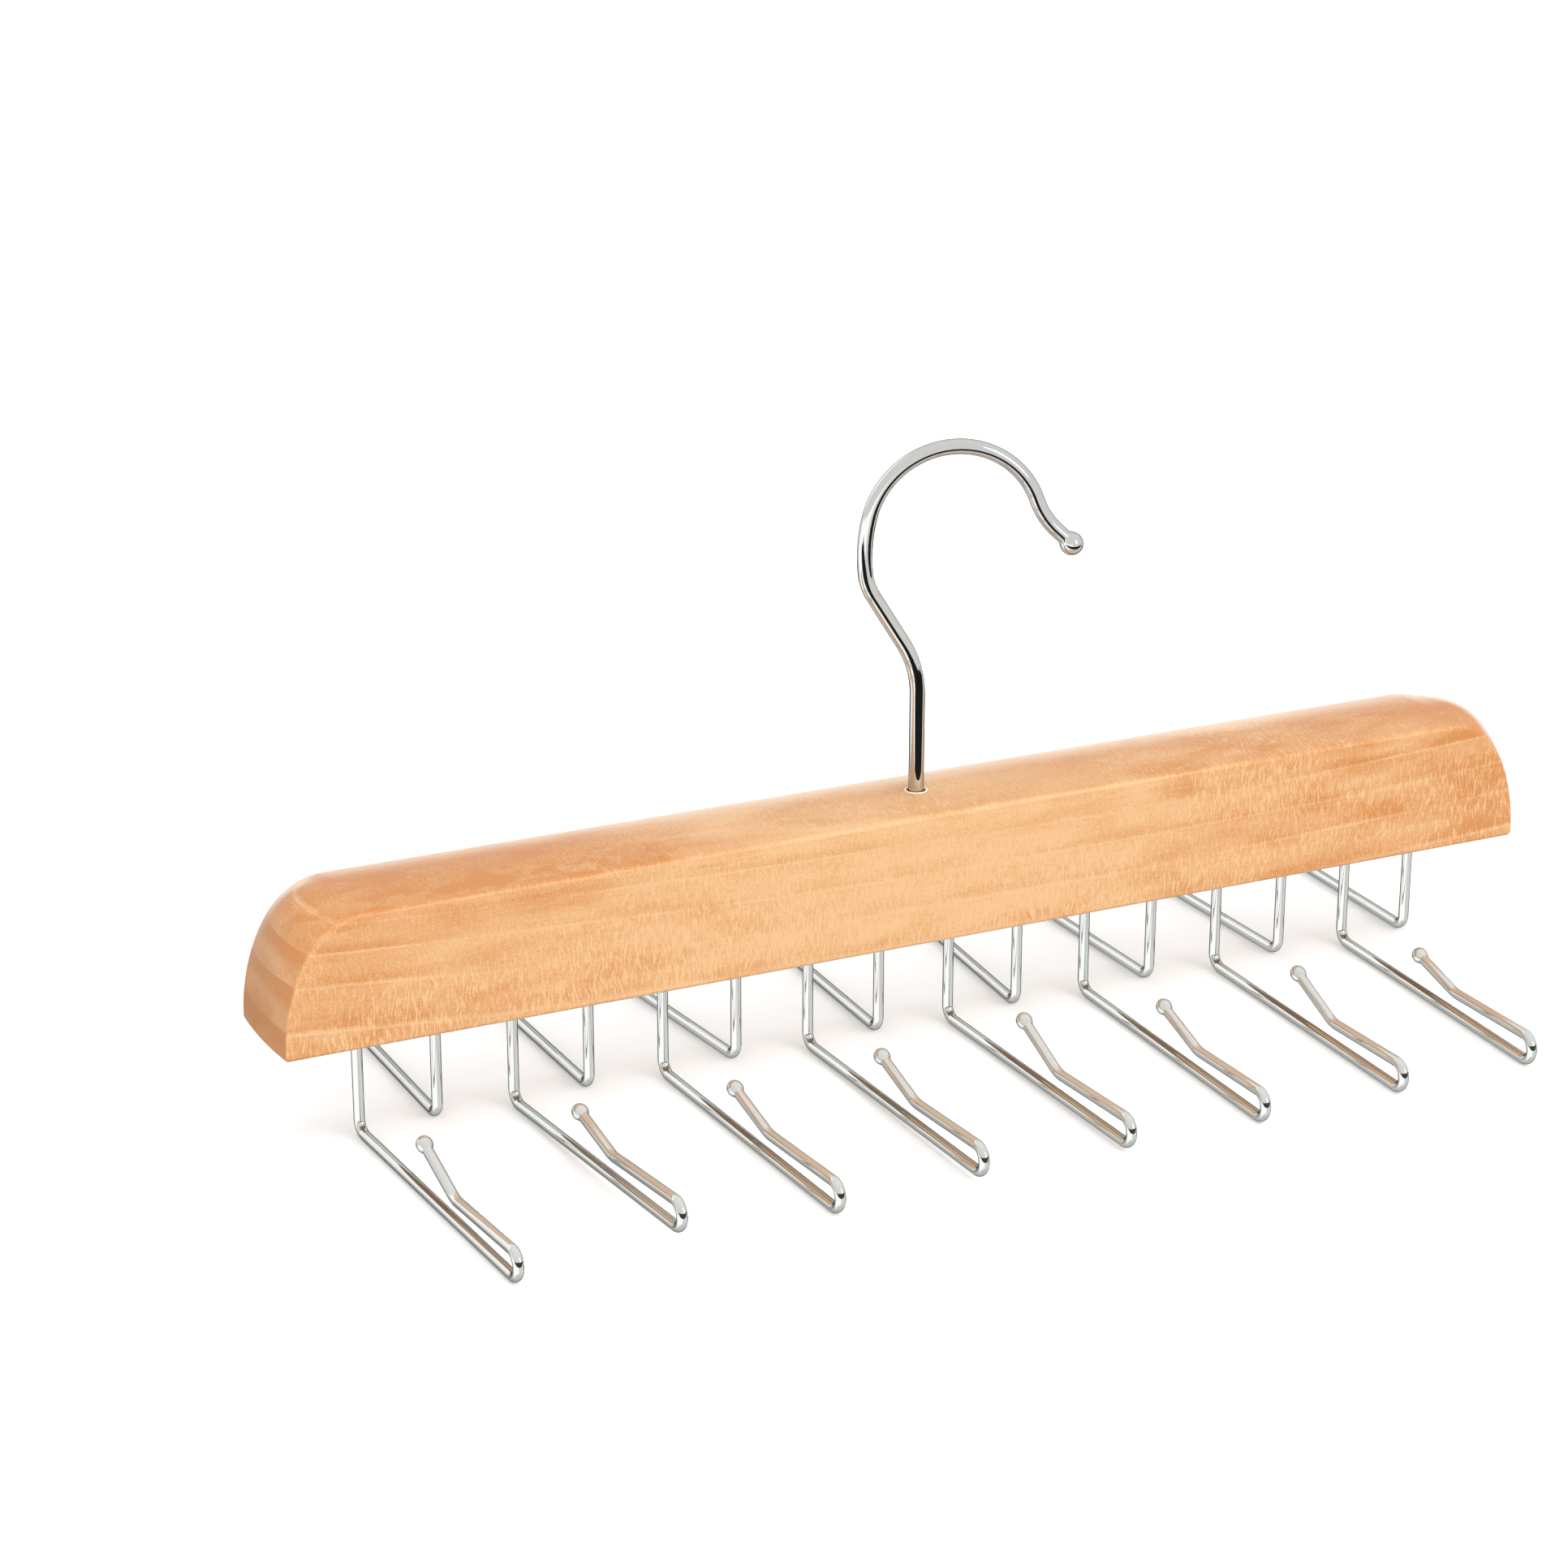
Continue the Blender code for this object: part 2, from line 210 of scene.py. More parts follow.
# Floor, dark cards that only the chrome sees, and lights
FLOOR_SIZE = 30.0
FLOOR_DROP = 0.0002
FLOOR_TONE = 0.96
CARD_TONE = 0.004
CARD_WIDTH = 1.2
MATT_ROUGHNESS = 0.95
DARK_CARD_HEIGHT = 0.008
DARK_CARD_NEAR = 0.14
DARK_CARD_FAR = 0.26
DARK_WALL_HEIGHT = 0.045
DARK_STRIP_PLACE = 0.125
DARK_STRIP_HEIGHT = 0.017
SOFTBOX_SIZE = (0.24, 0.7)
SOFTBOX_POWER = 1.6
SOFTBOX_PLACE = Vector((0.52, -1.09, 0.55))
CEILING_POWER = 1.7
CEILING_PLACE = Vector((0.25, -0.433, 0.866))
FILL_POWER = 1.85
FILL_PLACE = Vector((-0.25, -1.0, 0.15))
SUN_ANGLE = math.radians(70)

# Camera at the photograph's viewpoint
CAMERA_PLACE = (-0.46957, -0.87840, 0.42721)
CAMERA_YAW = math.radians(27.164)
CAMERA_PITCH = math.radians(21.678)
CAMERA_ROLL = math.radians(0.433)
CAMERA_SENSOR = 36.0
CAMERA_LENS = 94.449
CAMERA_SHIFT = (-0.04205, 0.08418)
CAMERA_CLIP = (0.05, 50.0)

# Places of the colours and of the result among a colour mix node's sockets
MIX_COLOURS = (6, 7)
MIX_RESULT = 2

BAR_LOW, BAR_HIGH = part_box("wooden_bar")
UNDERSIDE_Z = BAR_LOW.z
RIDGE_Z = BAR_HIGH.z
BAR_SIDE_HEIGHT = RIDGE_Z - UNDERSIDE_Z - CROWN_TOP
BAR_THICKNESS = BAR_HIGH.y - BAR_LOW.y
BAR_LENGTH = BAR_HIGH.x - BAR_LOW.x - 2 * CROWN_FOOT
ARM_Z = STRAP_WIRE_RADIUS
THREAD_TOP_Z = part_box("shank_washer")[1].z + THREAD_ABOVE_WASHER


class WirePath:
    """The centreline of a bent wire in its own X-Z plane, with the wire's radius at each point."""

    def __init__(self, start, heading, wire_radius):
        self.points = [Vector(start)]
        self.radii = [wire_radius]
        self.heading = heading
        self.wire_radius = wire_radius

    def direction(self):
        return Vector((math.cos(self.heading), 0.0, math.sin(self.heading)))

    def add(self, point, radius):
        self.points.append(point)
        self.radii.append(radius)

    def line(self, length):
        self.add(self.points[-1] + self.direction() * length, self.wire_radius)

    def arc(self, radius, angle, step):
        """Bend the wire: a positive angle turns it to the left of the way it runs."""
        count = max(1, math.ceil(abs(angle) / step))
        turn = angle / count
        chord = 2 * radius * math.sin(abs(turn) / 2)
        for _ in range(count):
            self.heading += turn / 2
            self.line(chord)
            self.heading += turn / 2

    def ball(self, distance, diameter, length):
        """Run straight to the ball on the wire's end, which swells out of it in a soft neck."""
        centre = self.points[-1] + self.direction() * distance
        half_length = length / 2
        neck_start = half_length + NECK_BLEND
        offsets = [neck_start - NECK_BLEND * index / NECK_STEPS for index in range(NECK_STEPS)]
        for index in range(BALL_STEPS + 1):
            offsets.append(half_length * math.cos(math.pi * index / BALL_STEPS))
        for offset in offsets:
            share = min(1.0, abs(offset) / half_length)
            radius = diameter / 2 * math.sqrt(1.0 - share * share)
            if offset > 0:
                radius = smooth_max(self.wire_radius, radius, NECK_BLEND)
            self.add(centre - self.direction() * offset, max(radius, BALL_POLE_RADIUS))


def smooth_max(first, second, blend):
    """The larger of two lengths, with the change from one to the other rounded off."""
    overlap = max(blend - abs(first - second), 0.0) / blend
    return max(first, second) + overlap * overlap * blend / 4


def link(obj):
    bpy.context.scene.collection.objects.link(obj)
    return obj


def wire_object(name, path):
    """A round wire along a path, with its ends closed."""
    curve = bpy.data.curves.new(name, "CURVE")
    curve.dimensions = "3D"
    curve.bevel_depth = path.wire_radius
    curve.bevel_resolution = WIRE_BEVEL_RESOLUTION
    curve.use_fill_caps = True
    spline = curve.splines.new("POLY")
    spline.points.add(len(path.points) - 1)
    for point, place, radius in zip(spline.points, path.points, path.radii):
        point.co = (*place, 1.0)
        point.radius = radius / path.wire_radius
    spline.use_smooth = True
    return link(bpy.data.objects.new(name, curve))


def mesh_object(name, shape):
    mesh = bpy.data.meshes.new(name)
    shape.to_mesh(mesh)
    shape.free()
    return link(bpy.data.objects.new(name, mesh))


def leg_x(side, index):
    """Where along the bar a strap hook's leg stands."""
    low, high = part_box(f"{side}_strap_hook_{index}")
    return (low.x + high.x) / 2


def bar_outline():
    """The bar's outline seen from the front, as (x, z, normal x, normal z) round the whole bar."""
    end_x = BAR_LENGTH / 2
    arc_x = end_x - BAR_END_DEPTH
    arc_height = BAR_SIDE_HEIGHT - BAR_EDGE_RADIUS
    power = 2 / BAR_END_FULLNESS
    half = []
    for index in range(CORNER_STEPS):
        angle = math.radians(90) * index / CORNER_STEPS
        x = end_x - BAR_EDGE_RADIUS * (1 - math.sin(angle))
        z = BAR_EDGE_RADIUS * (1 - math.cos(angle))
        half.append((x, z, math.sin(angle), -math.cos(angle)))
    for index in range(END_ARC_STEPS + 1):
        angle = math.radians(90) * index / END_ARC_STEPS
        cosine = max(0.0, math.cos(angle))
        sine = math.sin(angle)
        normal = Vector((cosine ** (2 - power) / BAR_END_DEPTH, sine ** (2 - power) / arc_height))
        normal.normalize()
        x = arc_x + BAR_END_DEPTH * cosine ** power
        z = BAR_EDGE_RADIUS + arc_height * sine ** power
        half.append((x, z, normal.x, normal.y))
    mirrored = [(-x, z, -normal_x, normal_z) for x, z, normal_x, normal_z in reversed(half)]
    return half + mirrored


def bar_section(x, z, normal_x, normal_z):
    """The line that one outline point draws from the front face over to the back face."""
    crown = CROWN_FOOT + (CROWN_TOP - CROWN_FOOT) * normal_z ** 2
    crown += CROWN_CORNER * max(0.0, 2 * abs(normal_x) * normal_z) ** 3
    top_share = min(1.0, max(0.0, normal_z) / FILLET_TOP_SLOPE)
    fillet = FILLET_END + (FILLET_TOP - FILLET_END) * top_share
    if normal_z < 0:
        crown = CROWN_FOOT * abs(normal_x)
        fillet = FILLET_END + (FILLET_FOOT - FILLET_END) * abs(normal_z)
    half = BAR_THICKNESS / 2
    insets = []
    for index in range(FILLET_STEPS):
        insets.append(fillet * (1 - math.cos(math.radians(90) * index / FILLET_STEPS)))
    middle = half - fillet
    depths = [-half + inset for inset in insets]
    depths += [-middle + 2 * middle * index / CROWN_STEPS for index in range(CROWN_STEPS + 1)]
    depths += [half - inset for inset in reversed(insets)]
    line = []
    for y in depths:
        inset = half - abs(y)
        out = crown * (1 - (y / half) ** 2)
        if inset < fillet:
            share = 1 - inset / fillet
            out -= fillet * (1 - math.sqrt(max(0.0, 1 - share * share)))
        line.append(Vector((x + out * normal_x, y, UNDERSIDE_Z + z + out * normal_z)))
    return line


def add_cylinder(shape, centre_xy, radius_low, radius_high, low_z, high_z):
    made = bmesh.ops.create_cone(
        shape, cap_ends=True, segments=HOLE_SIDES,
        radius1=radius_low, radius2=radius_high, depth=high_z - low_z)
    centre = Vector((*centre_xy, (low_z + high_z) / 2))
    bmesh.ops.translate(shape, verts=made["verts"], vec=centre)


def hole_cutters():
    """The leg sockets, the shank's bore, its chamfered mouth and its counterbore."""
    bottom_z = UNDERSIDE_Z - CUT_OVERRUN
    sockets = bmesh.new()
    socket_radius = STRAP_WIRE_RADIUS + LEG_SOCKET_CLEARANCE
    for side in ("front", "rear"):
        for index in range(1, STRAP_HOOKS_PER_SIDE + 1):
            place = (leg_x(side, index), 0.0)
            top_z = UNDERSIDE_Z + LEG_SOCKET_DEPTH
            add_cylinder(sockets, place, socket_radius, socket_radius, bottom_z, top_z)
    counterbore = bmesh.new()
    counterbore_top = UNDERSIDE_Z + COUNTERBORE_DEPTH
    add_cylinder(
        counterbore, (0, 0), COUNTERBORE_RADIUS, COUNTERBORE_RADIUS, bottom_z, counterbore_top)
    bore = bmesh.new()
    add_cylinder(bore, (0, 0), BORE_RADIUS, BORE_RADIUS, bottom_z, RIDGE_Z + CUT_OVERRUN)
    mouth = bmesh.new()
    mouth_rise = BORE_CHAMFER + CUT_OVERRUN
    add_cylinder(
        mouth, (0, 0), BORE_RADIUS, BORE_RADIUS + mouth_rise,
        RIDGE_Z - BORE_CHAMFER, RIDGE_Z + CUT_OVERRUN)
    shapes = {"sockets": sockets, "counterbore": counterbore, "bore": bore, "mouth": mouth}
    return [mesh_object("cut_" + name, shape) for name, shape in shapes.items()]


def build_bar(lacquer):
    """The wooden bar: rounded edges, crowned top and ends, and its drilled holes."""
    shape = bmesh.new()
    sections = []
    for point in bar_outline():
        sections.append([shape.verts.new(place) for place in bar_section(*point)])
    count = len(sections)
    for index in range(count):
        line, after = sections[index], sections[(index + 1) % count]
        for step in range(len(line) - 1):
            face = shape.faces.new((line[step], line[step + 1], after[step + 1], after[step]))
            face.smooth = True
    shape.faces.new([line[0] for line in sections])
    shape.faces.new([line[-1] for line in reversed(sections)])
    bar = mesh_object("lacquered_bar", shape)

    cutters = hole_cutters()
    for cutter in cutters:
        cut = bar.modifiers.new(cutter.name, "BOOLEAN")
        cut.operation = "DIFFERENCE"
        cut.solver = "EXACT"
        cut.object = cutter
    graph = bpy.context.evaluated_depsgraph_get()
    drilled = bpy.data.meshes.new_from_object(bar.evaluated_get(graph))
    drilled.name = "lacquered_bar"
    bar.modifiers.clear()
    bar.data = drilled
    for cutter in cutters:
        bpy.data.objects.remove(cutter)
    drilled.shade_smooth()
    drilled.set_sharp_from_angle(angle=SHARP_ANGLE)
    drilled.materials.clear()
    drilled.materials.append(lacquer)
    weighted = bar.modifiers.new("flat_faces", "WEIGHTED_NORMAL")
    weighted.keep_sharp = True
    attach(bar, BAR_BODY)
    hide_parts("wooden_bar")


def build_bore_rim(lacquer):
    """The bead of lacquer round the mouth of the shank's bore."""
    centre = BORE_RADIUS + BORE_CHAMFER + RIM_RADIUS / 2
    ring = []
    for index in range(RIM_STEPS):
        turn = math.tau * index / RIM_STEPS
        ring.append((
            centre + RIM_RADIUS * math.cos(turn), RIDGE_Z - RIM_SINK + RIM_RADIUS * math.sin(turn)))
    rim = turned_object("bore_rim", lambda angle: ring, True)
    rim.data.materials.append(lacquer)
    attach(rim, BAR_BODY)


def strap_hook_path(lift, lead_in_angle, return_length):
    """Down the leg, forward along the arm, back over it and up to the ball."""
    leg_top_z = UNDERSIDE_Z + LEG_SOCKET_DEPTH - LEG_END_GAP
    path = WirePath((0.0, 0.0, leg_top_z), math.radians(-90), STRAP_WIRE_RADIUS)
    path.line(leg_top_z - ARM_Z - LEG_BEND_RADIUS)
    path.arc(LEG_BEND_RADIUS, math.radians(90) + lift, ARC_STEP)
    path.line(ARM_LENGTH - LEG_BEND_RADIUS)
    path.arc(END_TURN_RADIUS, math.pi + RETURN_CLOSING_ANGLE, ARC_STEP)
    path.line(return_length)
    path.arc(LEAD_IN_BEND_RADIUS, -lead_in_angle - RETURN_CLOSING_ANGLE, ARC_STEP / 2)
    path.ball(LEAD_IN_LENGTH, STRAP_BALL_DIAMETER, STRAP_BALL_LENGTH)
    return path


def build_strap_hooks(chrome):
    """The sixteen strap hooks, each turned a little in its hole."""
    rear_bends = [(turn, 0.0, REAR_LEAD_IN_ANGLE, REAR_RUN) for turn in REAR_HOOK_TURNS]
    bends = {"front": FRONT_HOOK_BENDS, "rear": rear_bends}
    facing = {"front": math.radians(-90), "rear": math.radians(90)}
    for side in ("front", "rear"):
        for index in range(1, STRAP_HOOKS_PER_SIDE + 1):
            turn, lift, lead_in, run = bends[side][index - 1]
            path = strap_hook_path(math.radians(lift), math.radians(lead_in), run * MM)
            hook = wire_object(f"{side}_strap_wire_{index}", path)
            hook.data.materials.append(chrome)
            hook.location.x = leg_x(side, index)
            hook.rotation_euler.z = facing[side] + math.radians(turn)
            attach(hook, BAR_BODY)
            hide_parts(f"{side}_strap_hook_{index}")


def turned_object(name, profile_at, hollow):
    """A turned piece, whose profile_at gives its (radius, z) points at each angle."""
    shape = bmesh.new()
    columns = []
    for index in range(TURNED_STEPS):
        angle = math.tau * index / TURNED_STEPS
        across = Vector((math.cos(angle), math.sin(angle), 0.0))
        columns.append([shape.verts.new(across * radius + Vector((0, 0, z)))
                        for radius, z in profile_at(angle)])
    count = len(columns[0])
    for index, column in enumerate(columns):
        after = columns[(index + 1) % TURNED_STEPS]
        for step in range(count if hollow else count - 1):
            other = (step + 1) % count
            shape.faces.new((column[step], after[step], after[other], column[other]))
    if not hollow:
        shape.faces.new([column[0] for column in reversed(columns)])
        shape.faces.new([column[-1] for column in columns])
    made = mesh_object(name, shape)
    made.data.shade_smooth()
    made.data.set_sharp_from_angle(angle=SHARP_ANGLE)
    return made


def build_fastening(zinc, chrome):
    """The washer under the roof of the counterbore, the nut and the shank's threaded end."""
    low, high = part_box("shank_washer")
    inner, outer = WASHER_BORE_RADIUS, high.x
    edge, corner = WASHER_EDGE, WASHER_EDGE_CORNER * WASHER_EDGE
    ring = [
        (inner, low.z), (outer, low.z), (outer, high.z - edge), (outer - corner, high.z - corner),
        (outer - edge, high.z), (inner + edge, high.z), (inner, high.z - edge)]
    washer = turned_object("flat_washer", lambda angle: ring, True)
    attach(washer, BAR_BODY)
    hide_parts("shank_washer")

    low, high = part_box("shank_nut")
    flat_radius = (high.x - low.x) / 2
    face_radius = flat_radius * NUT_FACE_SHARE
    nut_low, nut_high = low.z, high.z
    bore, mouth = NUT_BORE_RADIUS, NUT_BORE_RADIUS + NUT_BORE_CHAMFER

    def nut_profile(angle):
        turned = (angle + NUT_FLAT_ANGLE / 2) % NUT_FLAT_ANGLE - NUT_FLAT_ANGLE / 2
        radius = flat_radius / math.cos(turned)
        drop = (radius - face_radius) * NUT_CHAMFER_SLOPE
        return [
            (bore, nut_low + NUT_BORE_CHAMFER), (mouth, nut_low), (face_radius, nut_low),
            (radius, nut_low + drop), (radius, nut_high - drop), (face_radius, nut_high),
            (mouth, nut_high), (bore, nut_high - NUT_BORE_CHAMFER)]

    nut = turned_object("hex_nut", nut_profile, True)
    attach(nut, HOOK_BODY)
    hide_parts("shank_nut")
    for piece in (washer, nut):
        piece.data.materials.append(zinc)

    end_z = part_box("swivel_hook")[0].z
    rows = math.ceil((THREAD_TOP_Z - end_z) / THREAD_PITCH * THREAD_STEPS)

    def thread_profile(angle):
        points = []
        for row in range(rows + 1):
            z = end_z + (THREAD_TOP_Z - end_z) * row / rows
            phase = (z / THREAD_PITCH - angle / math.tau) % 1.0
            groove = THREAD_DEPTH * min(1.0, THREAD_FLANK_SLOPE * min(phase, 1 - phase))
            lead = HOOK_WIRE_RADIUS - THREAD_DEPTH + (z - end_z) * THREAD_DEPTH / THREAD_LEAD_IN
            points.append((min(HOOK_WIRE_RADIUS - groove, lead), z))
        return points

    thread = turned_object("shank_thread", thread_profile, False)
    thread.data.materials.append(chrome)
    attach(thread, HOOK_BODY)


def build_swivel_hook(chrome):
    """The shank, the loop that takes the rail, and the ball on its end."""
    shank_top = RIDGE_Z + SHANK_RISE
    path = WirePath((0.0, 0.0, THREAD_TOP_Z), math.radians(90), HOOK_WIRE_RADIUS)
    path.line(shank_top - THREAD_TOP_Z)
    path.arc(*NECK_BEND, LOOP_ARC_STEP)
    path.line(SLANT_LENGTH)
    for radius, angle in LOOP_BENDS:
        path.arc(radius, angle, LOOP_ARC_STEP)
    path.arc(*TIP_BEND, LOOP_ARC_STEP)
    path.ball(TIP_LENGTH, HOOK_BALL_DIAMETER, HOOK_BALL_LENGTH)
    hook = wire_object("swivel_hook_wire", path)
    hook.data.materials.append(chrome)
    hook.rotation_euler.z = HOOK_PLANE_ANGLE
    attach(hook, HOOK_BODY)
    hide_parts("swivel_hook")


class Nodes:
    """A node tree, with each node made and linked in one call."""

    def __init__(self, tree):
        self.tree = tree

    def node(self, kind, inputs=(), **settings):
        made = self.tree.nodes.new(kind)
        for name, value in settings.items():
            setattr(made, name, value)
        for socket, value in dict(inputs).items():
            self.feed(made.inputs[socket], value)
        return made

    def feed(self, socket, value):
        if isinstance(value, bpy.types.NodeSocket):
            self.tree.links.new(value, socket)
        else:
            socket.default_value = value

    def math(self, operation, *values):
        return self.node("ShaderNodeMath", enumerate(values), operation=operation).outputs[0]

    def total(self, *terms):
        sum_so_far = terms[0]
        for term in terms[1:]:
            sum_so_far = self.math("ADD", sum_so_far, term)
        return sum_so_far

    def times(self, value, factor):
        return self.math("MULTIPLY", value, factor)

    def fade(self, value, low, high, start=0.0, end=1.0):
        """Go smoothly from start, where the value is low, to end, where it is high."""
        inputs = {"Value": value, "From Min": low, "From Max": high, "To Min": start, "To Max": end}
        made = self.node("ShaderNodeMapRange", inputs, interpolation_type="SMOOTHSTEP")
        return made.outputs[0]

    def blend(self, share, first, second):
        """The first value where the share is 0, and the second where it is 1."""
        gap = self.math("SUBTRACT", second, first)
        return self.math("MULTIPLY_ADD", share, gap, first)


class Shading(Nodes):
    """A material's nodes. Lengths in its patterns are in millimetres of the object."""

    def __init__(self, name):
        self.material = bpy.data.materials.new(name)
        self.material.use_nodes = True
        super().__init__(self.material.node_tree)
        self.shader = self.tree.nodes["Principled BSDF"]
        place = self.node("ShaderNodeTexCoord").outputs["Object"]
        scale = {0: place, "Scale": 1 / MM}
        self.place = self.node("ShaderNodeVectorMath", scale, operation="SCALE").outputs[0]

    def noise(self, grain, detail=2.0, wander=None):
        """Noise from -0.5 to 0.5, with patches of about the grain's millimetres in X, Y and Z."""
        place = self.place
        if wander:
            moved = {0: place, 1: wander}
            place = self.node("ShaderNodeVectorMath", moved, operation="ADD").outputs[0]
        stretch = {0: place, 1: tuple(1 / length for length in grain)}
        place = self.node("ShaderNodeVectorMath", stretch, operation="MULTIPLY").outputs[0]
        made = self.node("ShaderNodeTexNoise", {"Vector": place, "Scale": 1.0, "Detail": detail})
        return self.math("SUBTRACT", made.outputs[0], 0.5)

    def colour(self, factor, first, second):
        """The first colour where the factor is 0, and the second where it is 1."""
        made = self.node("ShaderNodeMix", {0: factor}, data_type="RGBA")
        for place, shade in zip(MIX_COLOURS, (first, second)):
            shade = shade if isinstance(shade, bpy.types.NodeSocket) else (*shade, 1.0)
            self.feed(made.inputs[place], shade)
        return made.outputs[MIX_RESULT]

    def split(self, vector):
        return self.node("ShaderNodeSeparateXYZ", {0: vector}).outputs

    def normal(self):
        """The surface's normal, as X, Y and Z."""
        return self.split(self.node("ShaderNodeNewGeometry").outputs["Normal"])

    def bump(self, height, depth):
        inputs = {"Height": height, "Distance": depth, "Strength": 1.0}
        made = self.node("ShaderNodeBump", inputs)
        self.feed(self.shader.inputs["Normal"], made.outputs[0])

    def set(self, **values):
        for name, value in values.items():
            self.feed(self.shader.inputs[name.replace("_", " ")], value)


def wood_material():
    """Clear-lacquered light wood: growth layers nearly level, short upright rays, soft clouds."""
    wood = Shading("lacquered_wood")
    x, y, z = wood.split(wood.place)
    normal = wood.normal()
    end_grain = wood.fade(wood.math("ABSOLUTE", normal[0]), *END_GRAIN_SLOPE)
    side_grain = wood.math("SUBTRACT", 1.0, end_grain)
    crown = wood.fade(normal[2], *CROWN_SLOPE)
    along = wood.math("ABSOLUTE", x)

    # Height across the growth layers, which sink towards the middle of the bar and rise again
    rise = wood.math("MULTIPLY_ADD", x, *LAYER_RISE)
    start = LAYER_START - UNDERSIDE_Z / MM
    level = wood.total(z, wood.times(x, rise), start, wood.times(y, LAYER_LEAN))
    level = wood.total(level, wood.times(wood.noise((150, 40, 22), 1.0), LAYER_WANDER))
    layer = wood.math("MULTIPLY_ADD", level, *LAYER_COUNT[:2])
    layer = wood.math("MULTIPLY_ADD", level, layer, LAYER_COUNT[2])
    share = wood.math("FRACT", layer)

    # Pale lines with a darker side on the long faces, and dark lines on the ends
    seen = wood.fade(wood.noise((60, 12, 9), 1.0), -0.15, 0.12, 0.3, 1.0)
    seen = wood.times(seen, wood.fade(along, 100.0, 165.0, 1.0, 2.0))
    line = wood.math("ABSOLUTE", wood.math("SUBTRACT", share, PALE_LINE_SHARE))
    pale_line = wood.times(wood.times(wood.fade(line, 0.05, 0.0), seen), side_grain)
    dark_side = wood.times(wood.fade(share, 0.45, 0.02), wood.fade(share, 0.0, 0.02))
    dark_side = wood.times(wood.times(dark_side, seen), side_grain)
    end_lines = wood.times(wood.fade(share, 0.35, 0.97), wood.fade(share, 1.0, 0.98))
    end_lines = wood.times(end_lines, end_grain)

    # Upright rays, strongest low on the bar and towards its right end
    wander = wood.times(wood.noise((6, 6, 6), 1.0), 3.0)
    wander = wood.node("ShaderNodeCombineXYZ", {0: wander}).outputs[0]
    rays = wood.noise((0.55, 3.0, 3.5), 1.0, wander)
    rays = wood.total(wood.times(rays, 0.8), wood.fade(rays, 0.02, 0.16, 0.0, 0.3))
    ray_mask = wood.fade(wood.noise((45, 30, 14), 1.0), -0.14, 0.12, 0.35, 1.0)
    underside = UNDERSIDE_Z / MM
    low_part = wood.fade(z, underside + RAYS_TOP, underside + RAYS_FULL, 0.4, 1.0)
    figured_end = wood.fade(x, *FIGURED_END)
    low_part = wood.math("MAXIMUM", low_part, wood.times(figured_end, 0.9))
    rays = wood.times(wood.times(rays, wood.times(ray_mask, side_grain)), low_part)

    # A stained stretch of the crown with darker knots, and patches along the shoulders
    stain = wood.times(wood.fade(x, *STAIN_START), wood.fade(x, *STAIN_END))
    stain = wood.times(stain, crown)
    knots = wood.times(wood.fade(wood.noise((15, 7, 5), 3.0), -0.02, 0.12), stain)
    shoulder = wood.math("ABSOLUTE", wood.total(z, SHOULDER_DROP - RIDGE_Z / MM))
    shoulder = wood.fade(shoulder, *SHOULDER_EDGE)
    patches = wood.times(wood.fade(wood.noise((28, 9, 5), 2.0), 0.03, 0.16), shoulder)

    fibres = wood.noise((26, 0.8, 0.8), 2.0)
    speckle = wood.noise((0.55, 0.45, 0.45), 1.0)
    cloud_strength = wood.total(1.0, wood.times(figured_end, 0.35))
    clouds = wood.times(wood.noise((26, 14, 7), 3.0), cloud_strength)

    # The tone is palest in the middle of the bar. Each pattern lightens or darkens it by its weight
    tone = wood.fade(along, *MIDDLE_TONE)
    # The crown's weight is painted shade: it darkens the top, which the light from above makes brighter
    weights = (
        (stain, -0.28), (crown, -0.15), (knots, -0.5), (figured_end, -0.12), (end_lines, -0.55),
        (patches, -0.22), (pale_line, 0.22), (dark_side, -0.16), (fibres, 0.25), (rays, 1.6),
        (speckle, 1.0), (clouds, 1.2), (end_grain, -0.17))
    for pattern, weight in weights:
        tone = wood.total(tone, wood.times(pattern, weight))

    # Seen nearly edge on, the crown's colour goes up to halfway to a pale one: a painted sheen
    facing = wood.node("ShaderNodeLayerWeight").outputs["Facing"]
    painted_sheen = wood.times(wood.fade(facing, *PAINTED_SHEEN_FACING, 0.0, 0.5), crown)
    wood.set(
        Base_Color=wood.colour(painted_sheen, wood.colour(tone, WOOD_DARK, WOOD_LIGHT), WOOD_PAINTED_SHEEN),
        Roughness=wood.total(0.46, wood.times(fibres, 0.2), wood.times(clouds, 0.15)),
        Specular_IOR_Level=0.2, Coat_Weight=0.25, Coat_Roughness=0.25)
    pores = wood.total(wood.times(fibres, 0.5), wood.times(rays, 0.6), wood.times(speckle, 0.3))
    wood.bump(pores, WOOD_RELIEF)
    return wood.material


def bead_material_with_painted_highlight():
    """The glossy lacquer that has gathered round the bore. Its pale cream is partly a painted
    highlight.
    """
    bead = Shading("lacquer_bead_painted_highlight")
    tone = bead.total(0.5, bead.noise((1.5, 1.5, 1.5)))
    bead.set(Base_Color=bead.colour(tone, BEAD_PAINTED_HIGHLIGHT_DIM, BEAD_PAINTED_HIGHLIGHT), Roughness=0.3)
    return bead.material


